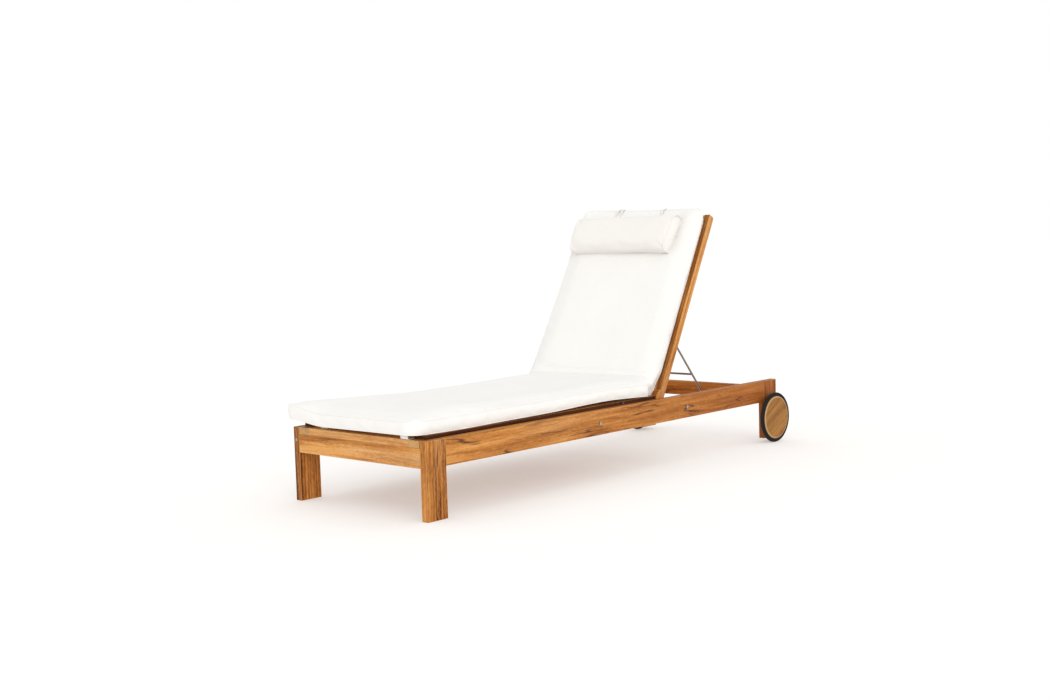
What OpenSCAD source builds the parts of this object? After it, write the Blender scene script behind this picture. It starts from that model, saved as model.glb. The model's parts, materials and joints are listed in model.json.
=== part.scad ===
// Reclining sun lounger: a low teak frame on two foot legs and two wheels,
// a slatted seat, a slatted backrest held up by a steel prop, and cushions.
// The foot end points along -Y, the head end along +Y, and +Z is up.

/* [Frame] */
// Width over the side rails
frame_w = 660; // [600:5:760]
// Length from the foot legs' face to the head legs' face
frame_l = 2004; // [1990:1:2060]
// Height of the side rails' top edge above the floor
rail_top = 256; // [250:1:300]
// Height of the side rails
rail_h = 88; // [80:1:110]
// Thickness of every leg and rail board
board_t = 27; // [24:1:32]
// Width of a foot leg, along the rail
foot_leg_w = 87; // [70:1:110]
// Width of a head leg, along the rail
head_leg_w = 90; // [80:1:110]
// Gap between a head leg and the floor
head_leg_gap = 16; // [8:1:40]
// How far the head rail's top edge lies below the side rails' top
rail_drop = 24; // [22:1:26]
// Height of the head rail
head_rail_h = 60; // [50:1:70]
// Height of the two cross rails under the seat and the hinge
cross_rail_h = 44; // [40:1:60]
// Distance from the foot to the cross rail under the seat
mid_rail_at = 849; // [700:1:950]
// Distance from the foot to the cross rail behind the hinge
hinge_rail_at = 1373; // [1350:1:1400]

/* [Seat] */
// Height of the slats' top above the side rails' top
deck_rise = 12; // [8:1:16]
// Width of a seat stile
seat_stile_w = 50; // [40:1:60]
// Number of seat slats
seat_slats_n = 12; // [8:1:14]
// Width of a seat slat
seat_slat_w = 78; // [50:1:80]
// Thickness of every slat
slat_t = 18; // [14:1:20]

/* [Backrest] */
// Angle of the backrest above level, as it stands
recline = 62.5; // [40:0.5:70]
// Distance from the foot to the backrest's hinge
hinge_at = 1252; // [1240:1:1260]
// Height of the backrest's hinge
hinge_z = 235; // [232:1:240]
// Length of a back stile above the hinge
stile_l = 786; // [740:1:800]
// Thickness of a back stile, across the lounger
stile_t = 25; // [22:1:28]
// Depth of a back stile, front to back
stile_d = 30; // [28:1:34]
// Number of back slats
back_slats_n = 8; // [6:1:9]
// Width of a back slat
back_slat_w = 68; // [40:1:70]

/* [Prop] */
// Diameter of the prop's steel rod
rod_d = 8; // [6:0.5:9]
// Distance up the backrest from its hinge to the prop's pin
prop_pin_at = 262; // [250:1:280]
// Length of the prop, from its pin to its foot pegs
prop_l = 314; // [305:1:340]
// Distance along the prop from its pin to its crossbar
crossbar_at = 192; // [150:1:240]
// Height of the foot pegs above the floor, as it stands
foot_peg_z = 227.5; // [226:0.5:229]
// Angles of the backrest that the rack's lower notches hold
low_stops = [24, 37, 50];

/* [Wheels] */
// Radius of a tyre
wheel_r = 103; // [90:1:120]
// Radius of a wheel's teak disc
disc_r = 88; // [75:1:95]
// Distance from the foot to the axle
axle_at = 1949; // [1940:1:1960]
// Diameter of the axle bolts
axle_d = 10; // [8:1:12]

/* [Cushions] */
// Width of the seat and back cushion
cushion_w = 600; // [560:5:640]
// Thickness of the seat and back cushion
cushion_t = 53; // [40:1:60]
// How far the seat cushion stands past the foot legs
overhang = 17; // [10:1:25]
// Length of the head pillow
pillow_l = 495; // [400:5:540]
// Height of the head pillow, up the backrest
pillow_h = 160; // [120:5:200]
// Thickness of the head pillow
pillow_t = 66; // [50:1:90]
// How far the head pillow sits off the middle
pillow_shift = -25; // [-30:1:30]

/* [Hidden] */
$fn = 48;

teak = [0.76, 0.52, 0.29];
teak_light = [0.80, 0.60, 0.38];
steel = [0.66, 0.67, 0.68];
rubber = [0.09, 0.09, 0.09];
nylon = [0.90, 0.90, 0.88];
canvas = [0.96, 0.94, 0.90];

// Places along the length are distances from the foot legs' face; foot_y moves them
// so that the origin lies under the middle of the whole lounger.
foot_y = (overhang - axle_at - wheel_r) / 2;
outer_x = frame_w / 2;
inner_x = outer_x - board_t;
rail_mid_x = outer_x - board_t / 2;
rail_bottom = rail_top - rail_h;
rail_mid_z = 211;
head_leg_y = frame_l - head_leg_w;
head_rail_inset = 18;
head_rail_y = head_leg_y + head_rail_inset;
cross_top = rail_top - rail_drop;
through = 1;

// Dowels and bolts
dowel_d = 10;
dowel_l = 50;
dowel_inset = 22;
dowel_z = [rail_bottom + dowel_inset, rail_top - dowel_inset];
thin_dowel_d = 8;
thin_dowel_l = 40;
thin_dowel_inset = 10;
thin_dowel_z = [cross_top - head_rail_h + thin_dowel_inset, cross_top - thin_dowel_inset];
foot_dowel_z = [rail_bottom + dowel_inset, cross_top - thin_dowel_inset];
thin_dowel_x = inner_x - dowel_inset;
rail_bolt_d = 8;
rail_bolt_l = 80;
rail_bolt_head_d = 12;
rail_bolt_head_t = 3.5;
rail_bolt_z = cross_top - cross_rail_h / 2;
barrel_nut_d = 14;
barrel_nut_h = 28;
barrel_nut_x = outer_x - rail_bolt_l + barrel_nut_d;
leg_bolt_d = 6.5;
leg_bolt_l = 150;
leg_bolt_head_d = 9;
leg_bolt_head_t = 4;

// Seat
deck_z = rail_top + deck_rise;
seat_gap = 2;
seat_stile_x = inner_x - seat_gap - seat_stile_w;
seat_stile_h = deck_z - cross_top;
seat_end_gap = 40;
seat_end = hinge_at - seat_end_gap;
tenon_t = 10;
seat_tenon_l = 12;
slat_shoulder = 7;
seat_slat_margin = 5;
seat_slat_first = board_t + seat_slat_margin;
seat_slat_pitch = (seat_end - seat_slat_margin - seat_slat_w - seat_slat_first) / (seat_slats_n - 1);

// Backrest, in its own frame: u runs up the stile from the hinge, w points out of its front
stile_rear = -2;
stile_front = stile_rear + stile_d;
stile_gap = 1;
stile_x = inner_x - stile_gap - stile_t;
boss_r = 17;
heel_r = 30;
heel_at = [16, 14];
stile_tip_r = 9;
back_tenon_l = 10;
back_slat_w0 = stile_front - slat_t;
top_rail_h = 46;
top_rail_gap = 2;
top_rail_u = stile_l - top_rail_gap - top_rail_h;
top_rail_t = 22;
top_rail_set = 1;
top_tenon_set = 3;
back_slat_first = 34;
back_slat_gap = 20;
back_slat_pitch = (top_rail_u - back_slat_gap - back_slat_w - back_slat_first) / (back_slats_n - 1);
hinge_d = 10;
bush_d = 14;
running_gap = 0.05;
hinge_head_d = 18;
hinge_head_t = 5;
head_gap = 0.5;
hinge_thread_l = 16;
washer_t = 0.8;

// Prop, in its own frame: v runs down the rod from the pin
prop_rod_gap = 7.5;
prop_rod_x = stile_x - prop_rod_gap;
rod_r = rod_d / 2;
prop_pin_w = 1;
eye_r = 8;
eye_t = 8;
pin_d = 6;
pin_head_d = 11;
pin_head_t = 2.4;
pin_head_gap = 0.3;
bracket_t = 3;
bracket_w = 0.5;
bracket_r = 8.5;
bracket_l = 80;
bracket_screw_u = 27;
bracket_screw_w = 4;
screw_d = 4;
screw_head_d = 8;
screw_head_t = 2.2;
bracket_screw_l = 18;
bracket_head_d = 7;
foot_peg_gap = 6;
foot_peg_x = inner_x - foot_peg_gap;
pin_y = hinge_at + prop_pin_at * cos(recline) - prop_pin_w * sin(recline);
pin_z = hinge_z + prop_pin_at * sin(recline) + prop_pin_w * cos(recline);
prop_tilt = asin((pin_z - foot_peg_z) / prop_l);

// Racks: notched cleats on the side rails, cut where the foot pegs land at each stop
function pin_height(a) = hinge_z + prop_pin_at * sin(a) + prop_pin_w * cos(a);
function pin_distance(a) = hinge_at + prop_pin_at * cos(a) - prop_pin_w * sin(a);
function landing(a) = pin_distance(a) + prop_l * cos(asin((pin_height(a) - foot_peg_z) / prop_l));
rack_stops = concat(low_stops, [recline]);
rack_t = 20;
rack_h = 34;
rack_top = foot_peg_z - 8;
rack_margin = 38;
notch_w = rod_d + 1.5;
notch_d = 8;
notch_lean = 12;
rack_y0 = landing(recline) - rack_margin;
rack_y1 = landing(low_stops[0]) + rack_margin;
rack_screw_inset = 14;
rack_screw_y = [rack_y0 + rack_screw_inset, (rack_y0 + rack_y1) / 2 + rod_r, rack_y1 - rack_screw_inset];
rack_screw_l = 34;
rack_screw_z = rack_top - rack_t;

// Wheels
spacer_t = 5.5;
spacer_d = 22;
wheel_in_x = outer_x + 6.5;
core_out_x = outer_x + 27;
cover_t = 11;
cover_edge_r = 5;
tyre_x0 = outer_x + 22;
tyre_w = 13;
tyre_edge_r = 6;
hub_r = 32;
wheel_bush_d = 16;
wheel_bush_l = 13;
bush_proud = 0.7;
nut_pocket_r = 15;
axle_head_d = 18;
axle_head_t = 6;
axle_end_x = core_out_x - 1;
nut_t = 6.4;
nut_d = 18;

// Cushions
cushion_gap = 1.5;
seat_cushion_z = deck_z + cushion_gap;
cushion_corner_r = 55;
seat_cushion_end = hinge_at - seat_end_gap;
mitre = 26;
back_cushion_gap = 1;
back_cushion_w0 = stile_front + back_cushion_gap;
back_cushion_u0 = 48;
back_cushion_u1 = stile_l - 3 * back_cushion_gap;
back_mitre = 4;
pillow_gap = 1.5;
pillow_u0 = 590;
pillow_edge_r = 24;
strap_w = 15;
strap_t = 1.5;
strap_face_t = 1.4;
strap_off = 105;
strap_tuck = 8;
strap_tail = 3;
tie_w = 35;
tie_t = 1.2;
tie_foot_x = 202;
side_tie_w = 20;
side_tie_gap = 10;
tie_side_y = seat_slat_first + (side_tie_gap * seat_slat_pitch) - (seat_slat_pitch - seat_slat_w) / 2;

// Helpers
module on_floor(y) { translate([0, foot_y + y, 0]) children(); }
module board(x, y, z, size) { translate([x, y, z]) cube(size); }
module rod_x(x0, x1, y, z, d) { translate([x0, y, z]) rotate([0, 90, 0]) cylinder(h = x1 - x0, d = d); }
module rod_y(y0, y1, x, z, d) { translate([x, y1, z]) rotate([90, 0, 0]) cylinder(h = y1 - y0, d = d); }
module rod_z(z0, z1, x, y, d) { translate([x, y, z0]) cylinder(h = z1 - z0, d = d); }
module both_sides() {
    children();
    mirror([1, 0, 0]) children();
}
module left_side() { mirror([1, 0, 0]) children(); }
module back_frame() { on_floor(hinge_at) translate([0, 0, hinge_z]) rotate([recline, 0, 0]) children(); }
module prop_frame() { on_floor(pin_y) translate([0, 0, pin_z]) rotate([-prop_tilt, 0, 0]) children(); }
// Extrudes an outline drawn in (y, z) along X
module across(x0, x1) {
    translate([x0, 0, 0]) rotate([90, 0, 90]) linear_extrude(height = x1 - x0) children();
}
// Turns an outline drawn in (radius, x) about the axle
module about_axle() {
    translate([0, axle_at, wheel_r]) rotate([0, 90, 0]) rotate_extrude($fn = 96) children();
}

// Dowels, bolts and screws, used both as pieces and as their holes
module side_dowels() {
    for (z = dowel_z, y = [foot_leg_w, head_leg_y])
        rod_y(y - dowel_l / 2, y + dowel_l / 2, rail_mid_x, z, dowel_d);
}
module foot_dowels() {
    for (z = foot_dowel_z) rod_x(thin_dowel_x, thin_dowel_x + thin_dowel_l, board_t / 2, z, thin_dowel_d);
}
module head_dowels() {
    for (z = thin_dowel_z)
        rod_x(thin_dowel_x, thin_dowel_x + thin_dowel_l, head_rail_y + board_t / 2, z, thin_dowel_d);
}
module foot_bolt_shape() {
    rod_y(0, leg_bolt_head_t, rail_mid_x, rail_mid_z, leg_bolt_head_d);
    rod_y(0, leg_bolt_l, rail_mid_x, rail_mid_z, leg_bolt_d);
}
module head_bolt_shape() {
    rod_y(frame_l - leg_bolt_head_t, frame_l, rail_mid_x, rail_mid_z, leg_bolt_head_d);
    rod_y(frame_l - leg_bolt_l, frame_l, rail_mid_x, rail_mid_z, leg_bolt_d);
}
module rail_bolt_shanks() {
    for (y = [mid_rail_at, hinge_rail_at])
        rod_x(outer_x - rail_bolt_l, outer_x, y, rail_bolt_z, rail_bolt_d);
}
module barrel_nut_bodies() {
    for (y = [mid_rail_at, hinge_rail_at])
        rod_z(rail_bolt_z - barrel_nut_h / 2, rail_bolt_z + barrel_nut_h / 2,
            barrel_nut_x, y, barrel_nut_d);
}
module rack_screw_shape() {
    for (y = rack_screw_y) {
        rod_x(inner_x - rack_t, inner_x - rack_t + screw_head_t, y, rack_screw_z, screw_head_d);
        rod_x(inner_x - rack_t, inner_x - rack_t + rack_screw_l, y, rack_screw_z, screw_d);
    }
}

// Frame
module side_rail(foot_bolted) {
    color(teak) on_floor(0) difference() {
        board(inner_x, foot_leg_w, rail_bottom, [board_t, head_leg_y - foot_leg_w, rail_h]);
        side_dowels();
        if (foot_bolted) foot_bolt_shape();
        head_bolt_shape();
        rail_bolt_shanks();
        rack_screw_shape();
        rod_x(inner_x - through, inner_x + hinge_thread_l, hinge_at, hinge_z, hinge_d);
    }
}
module foot_leg(bolted) {
    color(teak) on_floor(0) difference() {
        board(inner_x, 0, 0, [board_t, foot_leg_w, rail_top]);
        side_dowels();
        foot_dowels();
        if (bolted) foot_bolt_shape();
    }
}
module head_leg() {
    color(teak) on_floor(0) difference() {
        board(inner_x, head_leg_y, head_leg_gap, [board_t, head_leg_w, rail_top - head_leg_gap]);
        side_dowels();
        head_dowels();
        head_bolt_shape();
        rod_x(inner_x - through, outer_x + through, axle_at, wheel_r, axle_d);
    }
}
module foot_rail() {
    color(teak_light) on_floor(0) difference() {
        board(-inner_x, 0, rail_bottom, [2 * inner_x, board_t, cross_top - rail_bottom]);
        both_sides() foot_dowels();
    }
}
module head_rail() {
    color(teak) on_floor(0) difference() {
        board(-inner_x, head_rail_y, cross_top - head_rail_h, [2 * inner_x, board_t, head_rail_h]);
        both_sides() head_dowels();
    }
}
module cross_rail(y) {
    color(teak) on_floor(0) difference() {
        board(-inner_x, y - board_t / 2, cross_top - cross_rail_h, [2 * inner_x, board_t, cross_rail_h]);
        both_sides() rail_bolt_shanks();
        both_sides() barrel_nut_bodies();
    }
}
module frame_dowels() {
    color(teak_light) on_floor(0) both_sides() {
        side_dowels();
        foot_dowels();
        head_dowels();
    }
}
module rail_bolts() {
    color(steel) on_floor(0) both_sides() {
        rail_bolt_shanks();
        for (y = [mid_rail_at, hinge_rail_at])
            rod_x(outer_x, outer_x + rail_bolt_head_t, y, rail_bolt_z, rail_bolt_head_d);
    }
}
module barrel_nuts() {
    color(steel) on_floor(0) both_sides() difference() {
        barrel_nut_bodies();
        rail_bolt_shanks();
    }
}
module leg_bolts() {
    color(steel) on_floor(0) {
        left_side() foot_bolt_shape();
        both_sides() head_bolt_shape();
    }
}

// Seat
module seat_tenon_row(extra) {
    for (i = [0 : seat_slats_n - 1])
        board(seat_stile_x - extra, seat_slat_first + i * seat_slat_pitch + slat_shoulder,
            deck_z - (slat_t + tenon_t) / 2,
            [seat_tenon_l + extra, seat_slat_w - 2 * slat_shoulder, tenon_t]);
}
module seat_front_tenon(extra) {
    board(seat_stile_x - extra, (board_t - tenon_t) / 2, cross_top + slat_shoulder,
        [seat_tenon_l + extra, tenon_t, rail_drop - 2 * slat_shoulder]);
}
module seat_stile() {
    color(teak) on_floor(0) difference() {
        union() {
            board(seat_stile_x, board_t, cross_top, [seat_stile_w, seat_end - board_t, seat_stile_h]);
            board(seat_stile_x, 0, cross_top, [seat_stile_w, board_t, rail_drop]);
        }
        seat_tenon_row(through);
        seat_front_tenon(through);
    }
}
module seat_front_rail() {
    color(teak_light) on_floor(0) union() {
        board(-seat_stile_x, 0, cross_top, [2 * seat_stile_x, board_t, rail_drop]);
        both_sides() seat_front_tenon(0);
    }
}
module seat_slats() {
    color(teak) on_floor(0) union() {
        for (i = [0 : seat_slats_n - 1])
            board(-seat_stile_x, seat_slat_first + i * seat_slat_pitch, deck_z - slat_t,
                [2 * seat_stile_x, seat_slat_w, slat_t]);
        both_sides() seat_tenon_row(0);
    }
}

// Backrest
module stile_outline() {
    difference() {
        union() {
            translate([heel_at[0], stile_rear]) square([stile_l - heel_at[0], stile_d]);
            circle(r = boss_r);
            intersection() {
                translate(heel_at) circle(r = heel_r);
                translate([-heel_r, stile_rear]) square([3 * heel_r, 3 * heel_r]);
            }
        }
        translate([stile_l - stile_tip_r, stile_rear]) difference() {
            square(2 * stile_tip_r, center = true);
            translate([0, stile_tip_r]) circle(r = stile_tip_r);
            translate([-stile_tip_r, 0]) square([stile_tip_r, stile_tip_r]);
        }
    }
}
module back_tenon(u, w, width, extra) {
    board(stile_x - extra, u + slat_shoulder, w + (slat_t - tenon_t) / 2,
        [back_tenon_l + extra, width - 2 * slat_shoulder, tenon_t]);
}
module back_tenons(extra) {
    for (i = [0 : back_slats_n - 1])
        back_tenon(back_slat_first + i * back_slat_pitch, back_slat_w0, back_slat_w, extra);
    back_tenon(top_rail_u, back_slat_w0 - top_tenon_set, top_rail_h, extra);
}
module bracket_screw_shape() {
    for (side = [-1, 1]) {
        u = prop_pin_at + side * bracket_screw_u;
        rod_x(stile_x - bracket_t, stile_x - bracket_t + screw_head_t, u, bracket_screw_w, bracket_head_d);
        rod_x(stile_x - bracket_t, stile_x + bracket_screw_l, u, bracket_screw_w, screw_d);
    }
}
module back_stile() {
    color(teak) back_frame() difference() {
        across(stile_x, stile_x + stile_t) stile_outline();
        back_tenons(through);
        bracket_screw_shape();
        rod_x(stile_x - through, stile_x + stile_t + through, 0, 0, bush_d);
    }
}
module back_slat(i) {
    color(teak) back_frame() {
        board(-stile_x, back_slat_first + i * back_slat_pitch, back_slat_w0,
            [2 * stile_x, back_slat_w, slat_t]);
        both_sides() back_tenon(back_slat_first + i * back_slat_pitch, back_slat_w0, back_slat_w, 0);
    }
}
module back_top_rail() {
    color(teak) back_frame() {
        board(-stile_x, top_rail_u, stile_front - top_rail_set - top_rail_t, [2 * stile_x, top_rail_h, top_rail_t]);
        both_sides() back_tenon(top_rail_u, back_slat_w0 - top_tenon_set, top_rail_h, 0);
    }
}
module hinge_bolts() {
    color(steel) on_floor(0) both_sides() {
        rod_x(stile_x - hinge_head_t - head_gap, stile_x - head_gap, hinge_at, hinge_z, hinge_head_d);
        rod_x(stile_x - head_gap, inner_x + hinge_thread_l, hinge_at, hinge_z, hinge_d);
    }
}
module hinge_bushes() {
    color(nylon) back_frame() both_sides() difference() {
        rod_x(stile_x, stile_x + stile_t, 0, 0, bush_d);
        rod_x(stile_x - through, stile_x + stile_t + through, 0, 0, hinge_d + 2 * running_gap);
    }
}
module hinge_washers() {
    color(nylon) on_floor(0) both_sides() difference() {
        rod_x(inner_x - washer_t, inner_x, hinge_at, hinge_z, hinge_head_d);
        rod_x(inner_x - washer_t - through, inner_x + through, hinge_at, hinge_z, hinge_d);
    }
}

// Prop
module prop_foot_peg_shape() { rod_x(prop_rod_x - rod_r, foot_peg_x, prop_l, 0, rod_d); }
module prop_rod() {
    color(steel) prop_frame() difference() {
        union() {
            rod_x(prop_rod_x - eye_t / 2, prop_rod_x + eye_t / 2, 0, 0, 2 * eye_r);
            rod_y(eye_r - 1, prop_l, prop_rod_x, 0, rod_d);
        }
        rod_x(prop_rod_x - eye_t, prop_rod_x + eye_t, 0, 0, pin_d + 2 * running_gap);
        prop_foot_peg_shape();
    }
}
module prop_crossbar() {
    color(steel) prop_frame() difference() {
        rod_x(-prop_rod_x, prop_rod_x, crossbar_at, 0, rod_d);
        both_sides() rod_y(0, prop_l, prop_rod_x, 0, rod_d);
    }
}
module prop_foot_pegs() { color(steel) prop_frame() both_sides() prop_foot_peg_shape(); }
module prop_brackets() {
    color(steel) back_frame() both_sides() difference() {
        union() {
            for (side = [-1, 1])
                rod_x(stile_x - bracket_t, stile_x, prop_pin_at + side * (bracket_l / 2 - bracket_r),
                    bracket_w, 2 * bracket_r);
            board(stile_x - bracket_t, prop_pin_at + bracket_r - bracket_l / 2, bracket_w - bracket_r,
                [bracket_t, bracket_l - 2 * bracket_r, 2 * bracket_r]);
        }
        bracket_screw_shape();
        rod_x(stile_x - bracket_t - through, stile_x + through, prop_pin_at, prop_pin_w, pin_d);
    }
}
module prop_pins() {
    head_x = prop_rod_x - eye_t / 2 - pin_head_gap;
    color(steel) back_frame() both_sides() {
        rod_x(head_x - pin_head_t, head_x, prop_pin_at, prop_pin_w, pin_head_d);
        rod_x(head_x, stile_x, prop_pin_at, prop_pin_w, pin_d);
    }
}
module bracket_screws() { color(steel) back_frame() both_sides() bracket_screw_shape(); }

// Racks
module rack() {
    color(teak_light) on_floor(0) difference() {
        board(inner_x - rack_t, rack_y0, rack_top - rack_h, [rack_t, rack_y1 - rack_y0, rack_h]);
        for (a = rack_stops)
            translate([inner_x - rack_t - through, landing(a), rack_top - notch_d])
                rotate([notch_lean, 0, 0]) translate([0, -notch_w / 2, 0])
                    cube([rack_t + 2 * through, notch_w, 3 * notch_d]);
        rack_screw_shape();
    }
}
module rack_screws() { color(steel) on_floor(0) both_sides() rack_screw_shape(); }

// Wheels
module tyre() {
    color(rubber) on_floor(0) about_axle() difference() {
        union() {
            translate([disc_r, tyre_x0]) square([wheel_r - disc_r - tyre_edge_r, tyre_w]);
            translate([disc_r, tyre_x0 + tyre_edge_r])
                square([wheel_r - disc_r, tyre_w - 2 * tyre_edge_r]);
            for (x = [tyre_x0 + tyre_edge_r, tyre_x0 + tyre_w - tyre_edge_r])
                translate([wheel_r - tyre_edge_r, x]) circle(r = tyre_edge_r);
        }
        translate([0, tyre_x0 - through]) square([disc_r, tyre_w + 2 * through]);
    }
}
module wheel_core() {
    color(teak) on_floor(0) difference() {
        union() {
            rod_x(tyre_x0, core_out_x, axle_at, wheel_r, 2 * disc_r, $fn = 96);
            rod_x(wheel_in_x, tyre_x0 + through, axle_at, wheel_r, 2 * hub_r);
        }
        rod_x(wheel_in_x - through, core_out_x + through, axle_at, wheel_r, wheel_bush_d);
        rod_x(wheel_in_x + wheel_bush_l - 1, core_out_x + through, axle_at, wheel_r, 2 * nut_pocket_r);
    }
}
module wheel_cover() {
    color(teak_light) on_floor(0) about_axle() union() {
        translate([0, core_out_x]) square([disc_r - cover_edge_r, cover_t]);
        translate([0, core_out_x]) square([disc_r, cover_t - cover_edge_r]);
        intersection() {
            translate([disc_r - cover_edge_r, core_out_x + cover_t - cover_edge_r])
                circle(r = cover_edge_r);
            translate([0, core_out_x]) square([disc_r, cover_t]);
        }
    }
}
module wheel_bush() {
    color(nylon) on_floor(0) difference() {
        rod_x(wheel_in_x - bush_proud, wheel_in_x + wheel_bush_l - 1, axle_at, wheel_r, wheel_bush_d);
        rod_x(wheel_in_x - through, core_out_x, axle_at, wheel_r, axle_d + 2 * running_gap);
    }
}
module axle_bolts() {
    color(steel) on_floor(0) both_sides() {
        rod_x(inner_x - axle_head_t, inner_x, axle_at, wheel_r, axle_head_d);
        rod_x(inner_x, axle_end_x, axle_at, wheel_r, axle_d);
    }
}
module axle_nuts() {
    color(steel) on_floor(0) both_sides() difference() {
        rod_x(axle_end_x - head_gap - nut_t, axle_end_x - head_gap, axle_at, wheel_r, nut_d, $fn = 6);
        rod_x(outer_x, core_out_x, axle_at, wheel_r, axle_d);
    }
}
module axle_washers() {
    color(steel) on_floor(0) both_sides() difference() {
        rod_x(outer_x, outer_x + spacer_t, axle_at, wheel_r, spacer_d);
        rod_x(outer_x - through, core_out_x, axle_at, wheel_r, axle_d);
    }
}

// Cushions
module seat_cushion() {
    half_w = cushion_w / 2;
    color(canvas) on_floor(0) intersection() {
        across(-half_w, half_w) polygon([
            [-overhang, seat_cushion_z],
            [seat_cushion_end, seat_cushion_z],
            [seat_cushion_end - mitre, seat_cushion_z + cushion_t],
            [-overhang, seat_cushion_z + cushion_t]
        ]);
        union() {
            translate([-half_w, cushion_corner_r - overhang, 0])
                cube([2 * half_w, seat_cushion_end, frame_w]);
            translate([cushion_corner_r - half_w, -overhang, 0])
                cube([2 * (half_w - cushion_corner_r), seat_cushion_end, frame_w]);
            both_sides() translate([half_w - cushion_corner_r, cushion_corner_r - overhang, 0])
                cylinder(h = frame_w, r = cushion_corner_r);
        }
    }
}
module back_cushion() {
    half_w = cushion_w / 2;
    w1 = back_cushion_w0 + cushion_t;
    color(canvas) back_frame() across(-half_w, half_w) polygon([
        [back_cushion_u0, back_cushion_w0],
        [back_cushion_u1, back_cushion_w0],
        [back_cushion_u1, w1],
        [back_cushion_u0 + back_mitre, w1]
    ]);
}
module head_pillow() {
    w0 = back_cushion_w0 + cushion_t + pillow_gap;
    color(canvas) back_frame() translate([pillow_shift, 0, 0]) across(-pillow_l / 2, pillow_l / 2) union() {
        translate([pillow_u0, w0]) square([pillow_h, pillow_t - pillow_edge_r]);
        translate([pillow_u0 + pillow_edge_r, w0]) square([pillow_h - 2 * pillow_edge_r, pillow_t]);
        for (u = [pillow_u0 + pillow_edge_r, pillow_u0 + pillow_h - pillow_edge_r])
            translate([u, w0 + pillow_t - pillow_edge_r]) circle(r = pillow_edge_r);
    }
}
// Each strap runs from the pillow over the cushion's top edge and round the top rail
module pillow_straps() {
    front_w = back_cushion_w0 + cushion_t;
    rear_w = stile_front - top_rail_set - top_rail_t;
    top_u = stile_l - strap_t;
    start_u = pillow_u0 + pillow_h - strap_tuck;
    end_u = top_rail_u - strap_tail;
    color(canvas) back_frame() for (x = [pillow_shift - strap_off, pillow_shift + strap_off])
        translate([x - strap_w / 2, 0, 0]) {
            board(0, start_u, front_w, [strap_w, top_u - start_u, strap_face_t]);
            board(0, top_u, rear_w - strap_t, [strap_w, strap_t, front_w - rear_w + strap_t + strap_face_t]);
            board(0, end_u, rear_w - strap_t, [strap_w, top_u - end_u, strap_t]);
        }
}
// Webbing loops that tie the seat cushion to the first slat and to the stiles
module tie_loop(x, y, size, width_axis) {
    pad = [width_axis == 0 ? 0 : tie_t, width_axis == 1 ? 0 : tie_t, tie_t];
    cut = [width_axis == 0 ? through : 0, width_axis == 1 ? through : 0, 0];
    translate([x, y, deck_z - size[2]]) difference() {
        translate(-pad) cube(size + 2 * pad);
        translate(-cut) cube(size + 2 * cut);
    }
}
module tie_straps() {
    color(canvas) on_floor(0) both_sides() {
        tie_loop(tie_foot_x - tie_w / 2, seat_slat_first, [tie_w, seat_slat_w, slat_t], 0);
        tie_loop(seat_stile_x, tie_side_y - side_tie_w / 2, [seat_stile_w, side_tie_w, seat_stile_h], 1);
    }
}

left_side() side_rail(true);  // side_rail_left
side_rail(false);  // side_rail_right
left_side() foot_leg(true);  // foot_leg_left
foot_leg(false);  // foot_leg_right
left_side() head_leg();  // head_leg_left
head_leg();  // head_leg_right
foot_rail();
head_rail();
cross_rail(mid_rail_at);  // mid_rail
cross_rail(hinge_rail_at);  // hinge_rail
left_side() seat_stile();  // seat_stile_left
seat_stile();  // seat_stile_right
seat_front_rail();
seat_slats();
left_side() back_stile();  // back_stile_left
back_stile();  // back_stile_right
back_top_rail();
back_slat(0);  // back_slat_1
back_slat(1);  // back_slat_2
back_slat(2);  // back_slat_3
back_slat(3);  // back_slat_4
back_slat(4);  // back_slat_5
back_slat(5);  // back_slat_6
back_slat(6);  // back_slat_7
back_slat(7);  // back_slat_8
frame_dowels();
rail_bolts();
barrel_nuts();
leg_bolts();
hinge_bolts();
hinge_bushes();
hinge_washers();
left_side() prop_rod();  // prop_rod_left
prop_rod();  // prop_rod_right
prop_crossbar();
prop_foot_pegs();
prop_brackets();
prop_pins();
bracket_screws();
left_side() rack();  // rack_left
rack();  // rack_right
rack_screws();
left_side() wheel_core();  // wheel_core_left
wheel_core();  // wheel_core_right
left_side() wheel_cover();  // wheel_cover_left
wheel_cover();  // wheel_cover_right
left_side() tyre();  // tyre_left
tyre();  // tyre_right
left_side() wheel_bush();  // wheel_bush_left
wheel_bush();  // wheel_bush_right
axle_bolts();
axle_nuts();
axle_washers();
seat_cushion();
back_cushion();
head_pillow();
pillow_straps();
tie_straps();
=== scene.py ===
import json
import math

import bpy
from mathutils import Euler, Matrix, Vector, noise


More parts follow.
